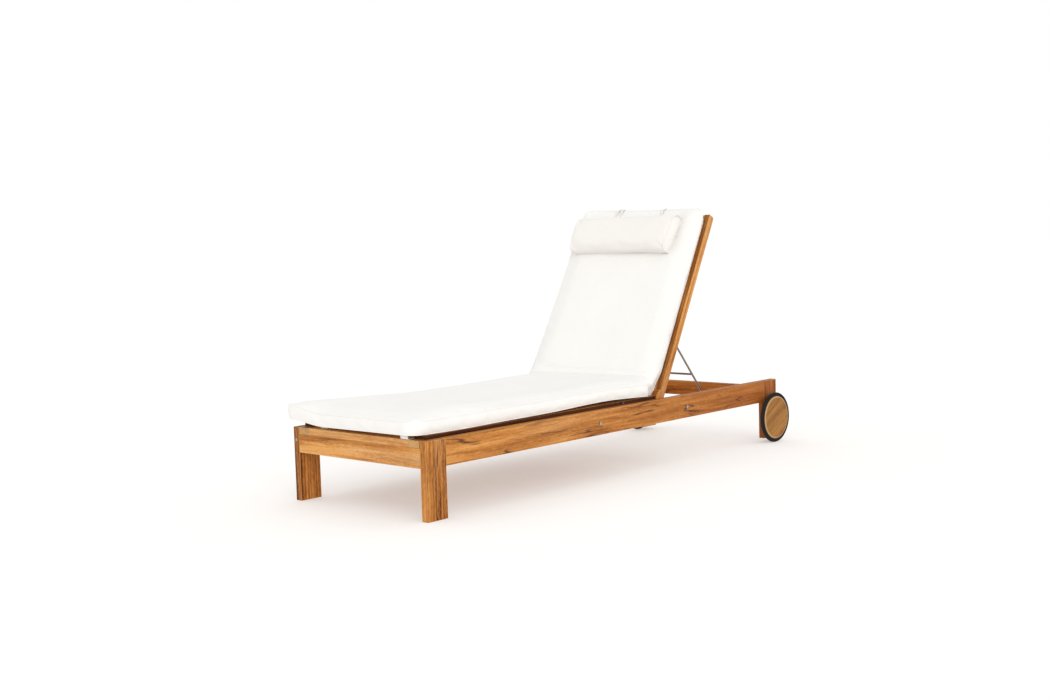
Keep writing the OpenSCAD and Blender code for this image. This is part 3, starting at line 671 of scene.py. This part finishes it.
def cushion_half(side, s, level):
    """Half the cushion's width: narrow below, to clear the stiles' heels and leave their front faces bare."""
    narrow = smooth(SEAT_LENGTH - 0.07, SEAT_LENGTH - 0.025, s)
    up_back = clamp((s - SEAT_LENGTH) / BACK_LENGTH, 0.0, 1.0)
    rear = HALF - 0.020 + 0.9 * push_at(side * HALF) * (1 - up_back)
    heel = HALF - 0.028
    rear = heel + (rear - heel) * smooth(SEAT_LENGTH + 0.03, SEAT_LENGTH + 0.10, s)
    below = HALF - 0.001 + (rear - HALF + 0.001) * narrow
    above = HALF + 0.002 + 0.003 * narrow - (0.010 * (1 - up_back) * narrow if side > 0 else 0.0)
    share = level + (smooth(0.3, 1.0, level) - level) * narrow
    flare = 0.032 * math.exp(-(s / FOOT_REACH) ** 2) if side < 0 else 0.0
    return below + (above - below) * share + flare


def curl_at(x, s):
    """How far the left foot corner curls up off the frame."""
    return 0.015 * smooth(0.13, 0.30, -x) * math.exp(-(s / 0.16) ** 2)


def lift_at(x, s):
    """How far the sides of the seat's underside rise off the slats half way along, more on the right."""
    reach = 0.26 if s < 0.93 else 0.20
    hump = math.exp(-((s - 0.93) / reach) ** 2) + 0.25 * math.exp(-((s - 0.45) / 0.2) ** 2)
    side = smooth(0.10, 0.29, x) * 0.011 + smooth(0.10, 0.29, -x) * 0.006
    return side * hump * (1 - smooth(SEAT_LENGTH - 0.09, SEAT_LENGTH - 0.03, s))


FILLET = 0.007
FILLET_WIDTH = 0.034
CREASE = 0.003
CREASE_WIDTH = 0.006


def layer(x, s, level):
    """The height of the cushion's layer at this level, from 0 at the bottom seam to 1 at the top seam."""
    near_fold = math.exp(-((s - SEAT_LENGTH) / 0.022) ** 2)
    below = lift_at(x, s) + curl_at(x, s) + 0.001 * near_fold + 0.003 * math.exp(-(s / 0.15) ** 2)
    above = THICK - 0.002 - SEAM_DROP + 0.45 * lift_at(x, s) + 1.25 * curl_at(x, s)
    from_fold = abs(s - SEAT_LENGTH)
    above += FILLET * math.exp(-(from_fold / FILLET_WIDTH) ** 2)
    above -= CREASE * math.exp(-(from_fold / CREASE_WIDTH) ** 2)
    return below + (above - below) * level


def corner(x_share, s):
    """Moves a place on the plan's rectangle onto the plan with rounded corners, with x_share from -1 to 1."""
    x, sign = abs(x_share) * HALF, 1 if x_share >= 0 else -1
    for radius, end, way in ((FOOT_RADII[sign], 0.0, 1), (TOP_RADIUS, CUSHION_LENGTH, -1)):
        a = (x - (HALF - radius)) / radius
        b = (radius - way * (s - end)) / radius
        if a > 0 and b > 0:
            a, b = a * math.sqrt(1 - b * b / 2), b * math.sqrt(1 - a * a / 2)
            x, s = HALF - radius + a * radius, end + way * (radius - b * radius)
    return sign * x / HALF, s


def panel_point(x_share, s, top):
    """A point of the top or bottom panel."""
    x_share, s = corner(x_share, s)
    inside = max(0.0, min(HALF * (1 - abs(x_share)), s, CUSHION_LENGTH - s))
    x = x_share * cushion_half(x_share, s, 1.0 if top else 0.0)
    if not top:
        return bend(x, s, layer(x, s, 0.0))
    wave = noise.noise(Vector((x * 5, s * 4.3, 2.0))) * 0.0018 * smooth(0, 0.09, inside)
    return bend(x, s, layer(x, s, 1.0) + crown_at(x, s) * (1 - math.exp(-inside / 0.020)) + wave)


def side_point(x_share, s, level):
    """A point of the boxing between the two seams, which bulges outwards a little."""
    x_share, s = corner(x_share, s)
    x = x_share * cushion_half(x_share, s, level)
    out = Vector((x_share * HALF - clamp(x_share * HALF, PLAN_RADIUS - HALF, HALF - PLAN_RADIUS),
                  s - clamp(s, PLAN_RADIUS, CUSHION_LENGTH - PLAN_RADIUS))).normalized()
    bulge = 0.0045 * math.sin(math.pi * level) ** 0.7
    return bend(x + out.x * bulge, s + out.y * bulge, layer(x, s, level))


def outline(columns, rows):
    """The panel's edge as grid places, once round: (column, row)."""
    last_c, last_r = len(columns) - 1, len(rows) - 1
    loop = [(c, 0) for c in range(last_c)] + [(last_c, r) for r in range(last_r)]
    return loop + [(c, last_r) for c in range(last_c, 0, -1)] + [(0, r) for r in range(last_r, 0, -1)]


BOXING_ROWS = (0.05, 0.14, 0.32, 0.5, 0.68, 0.86, 0.95)
FOLD_REACH = 0.036
FOLD_STEP = 0.0021


def cushion_rows():
    """Places along the cushion, close together in the fold, where the cloth opens as the back goes down."""
    before = spread(SEAT_LENGTH - FOLD_REACH, STEP, True, False)
    after = spread(BACK_LENGTH - FOLD_REACH, STEP, False, True)
    count = round(2 * FOLD_REACH / FOLD_STEP)
    fold = [SEAT_LENGTH - FOLD_REACH + 2 * FOLD_REACH * i / count for i in range(1, count)]
    return before + fold + [SEAT_LENGTH + FOLD_REACH + value for value in after]


def make_cushion(material):
    """The seat and back cushion: one boxed mattress, folded at the hinge. Also gives its two seams."""
    columns = [value / HALF - 1 for value in spread(2 * HALF, 0.017, True, True)]
    rows = cushion_rows()
    points, cloth, index = [], [], {}
    for side in (True, False):
        for r, s in enumerate(rows):
            for c, share in enumerate(columns):
                index[side, c, r] = len(points)
                points.append(panel_point(share, s, side))
                cloth.append((share * HALF, s))
    faces = []
    for c in range(len(columns) - 1):
        for r in range(len(rows) - 1):
            quad = [(c, r), (c + 1, r), (c + 1, r + 1), (c, r + 1)]
            faces.append([index[(True, *at)] for at in quad])
            faces.append([index[(False, *at)] for at in reversed(quad)])
    loop = outline(columns, rows)
    rings = [[index[(True, *at)] for at in loop]]
    for level in reversed(BOXING_ROWS):
        rings.append(list(range(len(points), len(points) + len(loop))))
        for c, r in loop:
            points.append(side_point(columns[c], rows[r], level))
            cloth.append((columns[c] * HALF + 0.05 + level * THICK, rows[r] + level * THICK))
    rings.append([index[(False, *at)] for at in loop])
    faces += bridge(rings)
    cushion = new_piece("cushion", points, faces, cloth, material)
    still = [index[False, c, r] for c in range(len(columns)) for r in range(len(rows))]
    still += [index[True, c, r] for c in range(len(columns)) for r in range(len(rows))
              if abs(rows[r] - SEAT_LENGTH) < FOLD_REACH]
    swell(cushion, rings[0] + still, 3.0, 0.006, 0.005)
    seams = [[cushion.data.vertices[i].co.copy() for i in ring] for ring in (rings[0], rings[-1])]
    return cushion, seams


def bridge(rings):
    """Quads between closed rings of the same length, from the first ring to the last."""
    faces = []
    for upper, lower in zip(rings, rings[1:]):
        for i in range(len(upper)):
            j = (i + 1) % len(upper)
            faces.append([upper[j], upper[i], lower[i], lower[j]])
    return faces


PIPING_RADIUS = 0.0014
PIPING_SIDES = 8


def make_welt(name, loops, radius, material):
    """Piping: a closed tube of bias-cut cloth round each loop of points."""
    points, cloth, faces = [], [], []
    for loop in loops:
        count, travelled, rings = len(loop), 0.0, []
        middle = sum(loop, Vector()) / count
        for i, point in enumerate(loop):
            before, after = loop[i - 1], loop[(i + 1) % count]
            way = (after - before).normalized()
            out = (point - middle) - way * (point - middle).dot(way)
            out = out.normalized() if out.length > 1e-6 else way.orthogonal()
            up = way.cross(out)
            travelled += (point - before).length
            ring = []
            for k in range(PIPING_SIDES):
                turn = 2 * math.pi * k / PIPING_SIDES
                ring.append(len(points))
                points.append(point + radius * (out * math.cos(turn) + up * math.sin(turn)))
                cloth.append((travelled, radius * turn))
            rings.append(ring)
        for i in range(count):
            here, there = rings[i], rings[(i + 1) % count]
            for k in range(PIPING_SIDES):
                j = (k + 1) % PIPING_SIDES
                faces.append([here[k], here[j], there[j], there[k]])
    return new_piece(name, points, faces, cloth, material)


def finish_cushion(material):
    cushion, seams = make_cushion(material)
    subdivide(cushion)
    welt = make_welt("cushion_piping", seams, PIPING_RADIUS, material)
    middle = (bend(0, SEAT_LENGTH, 0) + bend(0, SEAT_LENGTH, THICK)) / 2
    for piece in (cushion, welt):
        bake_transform(piece)
    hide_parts("seat_cushion", "back_cushion")


def pillow_section(angle):
    """(u, w) of the pillow's section as shares of its half sizes: full in front and flat where it lies."""
    c, s = math.cos(angle), math.sin(angle)
    power = 0.72 if s > 0 else 0.40
    return math.copysign(abs(c) ** 0.62, c), math.copysign(abs(s) ** power, s)


END_BULGE = 0.006


def finish_pillow(material):
    """The head pillow: a stuffed tube with a sewn panel at each end, the right one cut at a slant."""
    low, high = PILLOW_LOW, PILLOW_HIGH
    mid_u, mid_w = (low[1] + high[1]) / 2 - 0.009, (low[2] + high[2]) / 2
    half_u, half_w = (high[1] - low[1]) / 2, (high[2] - low[2]) / 2
    around = 72
    length = high[0] - low[0]
    points, cloth = [], []

    def ring(x, size, drift):
        for i in range(around):
            angle = 2 * math.pi * i / around
            u, w = pillow_section(angle)
            wave = noise.noise(Vector((x * 7, u * 1.3, w * 1.3))) * 0.0022 * drift
            slant = smooth(0.5, 1.0, (x - low[0]) / length)
            x_here = x - slant * (0.004 * (0.5 + 0.5 * w) + 0.018 * (0.5 - 0.5 * u)) * (0.3 + 0.7 * size)
            points.append(on_back(x_here, mid_u + u * half_u * size + wave, mid_w + w * half_w * size + wave))
            cloth.append((x, angle * 0.07))
        return list(range(len(points) - around, len(points)))

    caps = (0.25, 0.5, 0.72, 0.88, 0.96)
    low[0] += 0.007
    rings = [ring(low[0] - END_BULGE * math.cos(share * math.pi / 2), share, 0.0) for share in caps]
    for value in spread(length, STEP, True, True):
        inside = min(value, length - value)
        size = 0.955 + 0.045 * (1 - math.exp(-inside / 0.035))
        rings.append(ring(low[0] + value, size, smooth(0, 0.08, inside)))
    rings += [ring(high[0] + END_BULGE * math.cos(share * math.pi / 2), share, 0.0)
              for share in reversed(caps)]
    faces = [list(reversed(face)) for face in bridge(rings)]
    for end, x, flip in ((rings[0], low[0] - END_BULGE, False), (rings[-1], high[0] + END_BULGE, True)):
        centre = len(points)
        middle = sum((points[i] for i in end), Vector()) / around
        points.append(middle)
        cloth.append((x, 0.0))
        for i in range(around):
            j = (i + 1) % around
            faces.append([centre, end[i], end[j]] if flip else [centre, end[j], end[i]])
    pillow = new_piece("pillow", points, faces, cloth, material)
    first, last = rings[len(caps)], rings[-1 - len(caps)]
    ends = [i for i in range(len(points)) if i < first[0] or i > last[-1]]
    swell(pillow, first + last + ends, 4.0, 0.012, 0.006)
    subdivide(pillow)
    seams = [[pillow.data.vertices[i].co.copy() for i in seam] for seam in (first, last)]
    welt = make_welt("pillow_piping", seams, PIPING_RADIUS, material)
    for piece in (pillow, welt):
        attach(piece, "backrest")
    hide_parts("head_pillow")


# The webbing's section, once round, as shares of half its width and half its thickness
WEB_SECTION = ((-1, -1), (-0.5, -1), (0.5, -1), (1, -1), (1, 1), (0.5, 1), (-0.5, 1), (-1, 1))


def make_webbing(name, runs, width, thick, material):
    """Flat webbing: runs holds (points, side, closed), where side is the way its width points."""
    points, cloth, faces = [], [], []
    for path, side, closed in runs:
        count, travelled, rings = len(path), 0.0, []
        for i, point in enumerate(path):
            before = path[i - 1] if closed or i else point
            after = path[(i + 1) % count] if closed or i < count - 1 else point
            across = side * (width / 2)
            up = (after - before).cross(side).normalized() * (thick / 2)
            travelled += (point - before).length
            ring = []
            for a, b in WEB_SECTION:
                ring.append(len(points))
                points.append(point + a * across + b * up)
                cloth.append((a * width / 2, travelled))
            rings.append(ring)
        steps = count if closed else count - 1
        for i in range(steps):
            here, there = rings[i], rings[(i + 1) % count]
            for k in range(len(WEB_SECTION)):
                j = (k + 1) % len(WEB_SECTION)
                faces.append([here[k], here[j], there[j], there[k]])
        if not closed:
            faces += [list(reversed(rings[0])), rings[-1]]
    return new_piece(name, points, faces, cloth, material)


def rounded(corners, radius, closed):
    """A path through these corners, each turned with a short arc."""
    path = []
    for i, point in enumerate(corners):
        if not closed and i in (0, len(corners) - 1):
            path.append(point)
            continue
        before, after = corners[i - 1], corners[(i + 1) % len(corners)]
        first = point + (before - point).normalized() * radius
        last = point + (after - point).normalized() * radius
        for t in (0.0, 0.33, 0.67, 1.0):
            path.append(first.lerp(point, t).lerp(point.lerp(last, t), t))
    return path


STRAP_WIDTH = 0.009
STRAP_THICK = 0.0013
STRAP_OFF = 0.0015


def finish_pillow_straps(material):
    """Two straps from the pillow over the cushion's top edge to the top rail; the left one is a narrow V."""
    rail_low, rail_high = back_box("back_top_rail")
    low, high = back_box("pillow_straps")
    runs = []
    for x, lean in ((low[0] + 0.0215, -0.010), (low[0] + 0.0335, 0.010), (high[0] + 0.0225, 0.0)):
        top = max(rail_high[1], BACK_HIGH[1] + rise_at(x) + 0.0065) + 0.0012
        corners = [on_back(x + lean, PILLOW_HIGH[1] - 0.012, BACK_HIGH[2] + STRAP_OFF),
                   on_back(x + 0.5 * lean, top - 0.012, BACK_HIGH[2] + STRAP_OFF),
                   on_back(x, top, BACK_HIGH[2] - 0.012),
                   on_back(x - 0.3 * lean, top, rail_low[2] - STRAP_OFF),
                   on_back(x - 0.6 * lean, rail_low[1] - 0.004, rail_low[2] - STRAP_OFF)]
        runs.append((rounded(corners, 0.004, False), Vector((1, 0, 0)), False))
    straps = make_webbing("pillow_straps", runs, STRAP_WIDTH, STRAP_THICK, material)
    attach(straps, "backrest")
    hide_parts("pillow_straps")


# How far the webbing stands off the wood it lies on
TIE_OFF = 0.0012


def finish_ties(material, side_material):
    """Webbing loops from the cushion to the first slat, one with a loose end, and loops round the stiles in
    webbing painted dark brown as shade.
    """
    spots = [vertex.co for vertex in NODES["tie_straps"].data.vertices]
    half_way = (min(p.y for p in spots) + max(p.y for p in spots)) / 2
    rail_low, rail_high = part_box("seat_front_rail")
    foot, middle = [], []
    for sign in (-1, 1):
        for runs, group in ((foot, [p for p in spots if p.y < half_way and p.x * sign > 0]),
                            (middle, [p for p in spots if p.y > half_way and p.x * sign > 0])):
            low, high = ([edge(p[axis] for p in group) for axis in range(3)] for edge in (min, max))
            centre = (Vector(low) + Vector(high)) / 2
            axis = 1 if runs is foot else 0
            along = Vector((1, 0, 0)) if axis else Vector((0, 1, 0))
            corners = []
            for a, z in ((low[axis], low[2]), (high[axis], low[2]),
                         (high[axis], high[2]), (low[axis], high[2])):
                corner_at = centre.copy()
                corner_at[axis], corner_at.z = a, z
                corners.append(corner_at + (centre - corner_at).normalized() * 0.0006)
            runs.append((rounded(corners, 0.0015, True), along, True))
            if axis and sign > 0:
                x = centre.x + 0.034
                tail = [Vector((x, SEAT_LOW.y + 0.013, SEAT_LOW.z + 0.004)),
                        Vector((x, rail_low.y - 0.002, rail_high.z + TIE_OFF)),
                        Vector((x, low[1] - 0.0015, rail_high.z + TIE_OFF))]
                runs.append((rounded(tail, 0.004, False), along, False))
    for name, runs, width, cloth in (("foot_ties", foot, 0.035, material),
                                     ("side_ties", middle, 0.010, side_material)):
        ties = make_webbing(name, runs, width, 0.0011, cloth)
        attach(ties, "frame")
        if name == "foot_ties":
            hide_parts("tie_straps")


make_camera()
make_world()
make_sun("key", (0.80, -0.55, 0.35), 1.05, 45, (1.0, 0.985, 0.96))
make_floor()
finish_boards()
finish_metal()
finish_cushion(canvas("cushion_canvas", (0.825, 0.812, 0.786), 0.0009, 0.0002))
pillow_cloth = canvas("pillow_canvas", (0.795, 0.770, 0.735), 0.0009, 0.0002)
finish_pillow(pillow_cloth)
finish_pillow_straps(pillow_cloth)
# The webbing round the stiles is painted dark brown: painted shade
finish_ties(canvas("webbing", (0.80, 0.78, 0.75), 0.0016, 0.0004),
            canvas("stile_webbing_painted_shade", (0.10, 0.055, 0.035), 0.0012, 0.0003))
